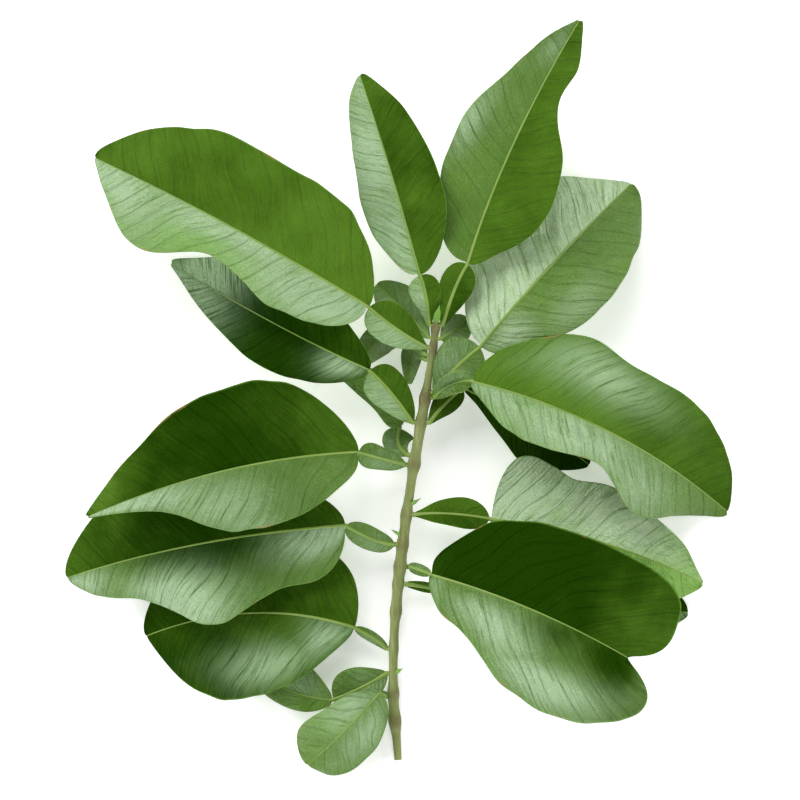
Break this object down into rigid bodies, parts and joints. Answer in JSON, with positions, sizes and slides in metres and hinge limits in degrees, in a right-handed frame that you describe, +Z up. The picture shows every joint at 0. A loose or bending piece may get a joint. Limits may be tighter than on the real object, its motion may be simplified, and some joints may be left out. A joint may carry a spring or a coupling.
{
  "type": "pomelo leaf sprig",
  "caption": "Cut citrus twig with broad glossy leaves on winged stalks, lying flat for display or garnish scenes.",
  "frame": {"origin": "under the middle of the sprig's bounding box, on the surface it lies on", "axes": "+Z up from the surface, +Y along the stem from the cut end to the growing tip, +X to the right as seen from above"},
  "size_m": [0.2688, 0.3028, 0.0488],
  "materials": {
    "stem_bark": "olive-green young bark with pale lenticels, matt",
    "petiole_wing": "waxy leaf surface, semi-gloss",
    "leaf_dark": "waxy leaf surface, deep green, glossy above and matt below",
    "leaf_mid": "waxy leaf surface, mid green, glossy above and matt below",
    "leaf_pale": "waxy leaf surface with a pale bloom, glossy above and matt below",
    "leaf_young": "soft young leaf, satin",
    "bud_scale": "smooth bud scale, satin"
  },
  "bodies": {
    "root": {"stem": "stem_bark", "winged_petiole_01": "petiole_wing", "blade_01": "leaf_mid", "winged_petiole_02": "petiole_wing", "blade_02": "leaf_mid", "winged_petiole_03": "petiole_wing", "blade_03": "leaf_dark", "winged_petiole_04": "petiole_wing", "blade_04": "leaf_dark", "winged_petiole_05": "petiole_wing", "blade_05": "leaf_dark", "winged_petiole_06": "petiole_wing", "blade_06": "leaf_mid", "winged_petiole_07": "petiole_wing", "blade_07": "leaf_pale", "winged_petiole_08": "petiole_wing", "blade_08": "leaf_pale", "winged_petiole_09": "petiole_wing", "blade_09": "leaf_dark", "winged_petiole_10": "petiole_wing", "blade_10": "leaf_dark", "winged_petiole_11": "petiole_wing", "blade_11": "leaf_dark", "winged_petiole_12": "petiole_wing", "blade_12": "leaf_mid", "winged_petiole_13": "petiole_wing", "blade_13": "leaf_pale", "winged_petiole_14": "petiole_wing", "blade_14": "leaf_mid", "winged_petiole_15": "petiole_wing", "blade_15": "leaf_mid", "winged_petiole_16": "petiole_wing", "blade_16": "leaf_mid", "young_leaf_1": "leaf_young", "young_leaf_2": "leaf_young", "young_leaf_3": "leaf_young", "young_leaf_4": "leaf_young", "bud_01": "bud_scale", "thorn_01": "bud_scale", "thorn_02": "bud_scale", "terminal_bud": "bud_scale"}
  },
  "joints": []
}
